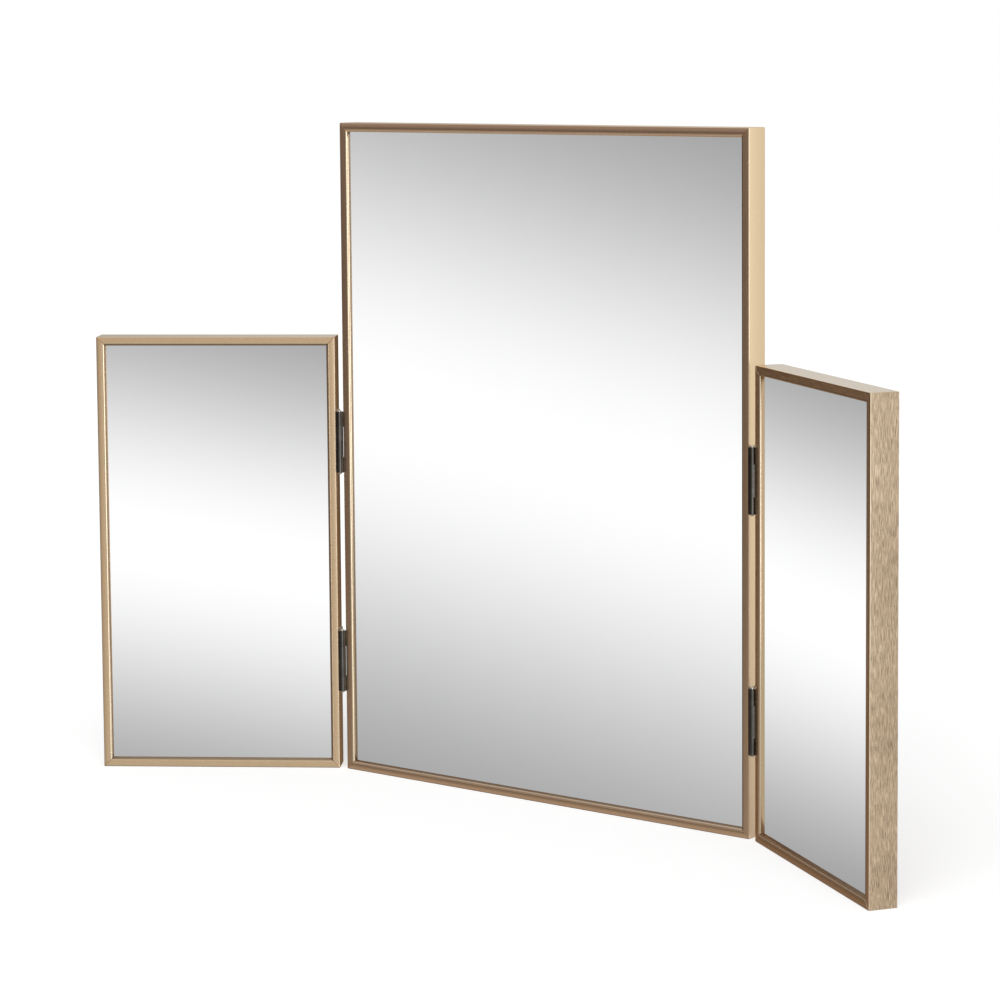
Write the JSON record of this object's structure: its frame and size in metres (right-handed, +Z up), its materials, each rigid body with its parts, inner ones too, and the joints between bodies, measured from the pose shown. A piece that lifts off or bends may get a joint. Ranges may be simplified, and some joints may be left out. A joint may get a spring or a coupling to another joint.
{
  "type": "trifold vanity mirror",
  "caption": "Free-standing trifold dressing-table mirror: a tall centre mirror with shorter side mirrors hinged to fold forward, in slim brushed metal frames.",
  "frame": {"origin": "underside of the centre panel's bottom rail, at the middle of its length and depth", "axes": "+X to the right along the centre panel, +Y from its glass to its back, +Z up"},
  "size_m": [0.7698, 0.1353, 0.54],
  "materials": {
    "frame_metal": "brushed, champagne gold anodised",
    "mirror_glass": "silvered, polished",
    "packing_card": "plain grey card",
    "back_board": "dark hardboard, smooth side out",
    "zinc_steel": "zinc plated",
    "hinge_black": "black, semi-gloss",
    "hinge_screw_black": "black, satin",
    "hinge_pin_steel": "bright, turned"
  },
  "bodies": {
    "centre_panel": {"centre_back_board": "back_board", "centre_board_springs": "zinc_steel", "centre_bottom_rail": "frame_metal", "centre_corner_brackets": "zinc_steel", "centre_corner_grub_screws": "zinc_steel", "centre_hinge_screws": "hinge_screw_black", "centre_left_stile": "frame_metal", "centre_mirror_glass": "mirror_glass", "centre_packing_card": "packing_card", "centre_right_stile": "frame_metal", "centre_top_rail": "frame_metal", "left_lower_hinge_centre_leaf": "hinge_black", "left_lower_hinge_pin": "hinge_pin_steel", "left_upper_hinge_centre_leaf": "hinge_black", "left_upper_hinge_pin": "hinge_pin_steel", "right_lower_hinge_centre_leaf": "hinge_black", "right_lower_hinge_pin": "hinge_pin_steel", "right_upper_hinge_centre_leaf": "hinge_black", "right_upper_hinge_pin": "hinge_pin_steel"},
    "left_wing": {"left_lower_hinge_wing_leaf": "hinge_black", "left_upper_hinge_wing_leaf": "hinge_black", "left_wing_back_board": "back_board", "left_wing_board_springs": "zinc_steel", "left_wing_bottom_rail": "frame_metal", "left_wing_corner_brackets": "zinc_steel", "left_wing_corner_grub_screws": "zinc_steel", "left_wing_hinge_screws": "hinge_screw_black", "left_wing_left_stile": "frame_metal", "left_wing_mirror_glass": "mirror_glass", "left_wing_packing_card": "packing_card", "left_wing_right_stile": "frame_metal", "left_wing_top_rail": "frame_metal"},
    "right_wing": {"right_lower_hinge_wing_leaf": "hinge_black", "right_upper_hinge_wing_leaf": "hinge_black", "right_wing_back_board": "back_board", "right_wing_board_springs": "zinc_steel", "right_wing_bottom_rail": "frame_metal", "right_wing_corner_brackets": "zinc_steel", "right_wing_corner_grub_screws": "zinc_steel", "right_wing_hinge_screws": "hinge_screw_black", "right_wing_left_stile": "frame_metal", "right_wing_mirror_glass": "mirror_glass", "right_wing_packing_card": "packing_card", "right_wing_right_stile": "frame_metal", "right_wing_top_rail": "frame_metal"}
  },
  "joints": [
    {"name": "left_wing_hinge", "type": "hinge", "parent": "centre_panel", "child": "left_wing", "pos_m": [-0.2032, -0.012, 0.1835], "axis": [0, 0, 1], "range_deg": [-43, 147]},
    {"name": "right_wing_hinge", "type": "hinge", "parent": "centre_panel", "child": "right_wing", "pos_m": [0.2032, -0.012, 0.1835], "axis": [0, 0, -1], "range_deg": [-44, 146]}
  ]
}
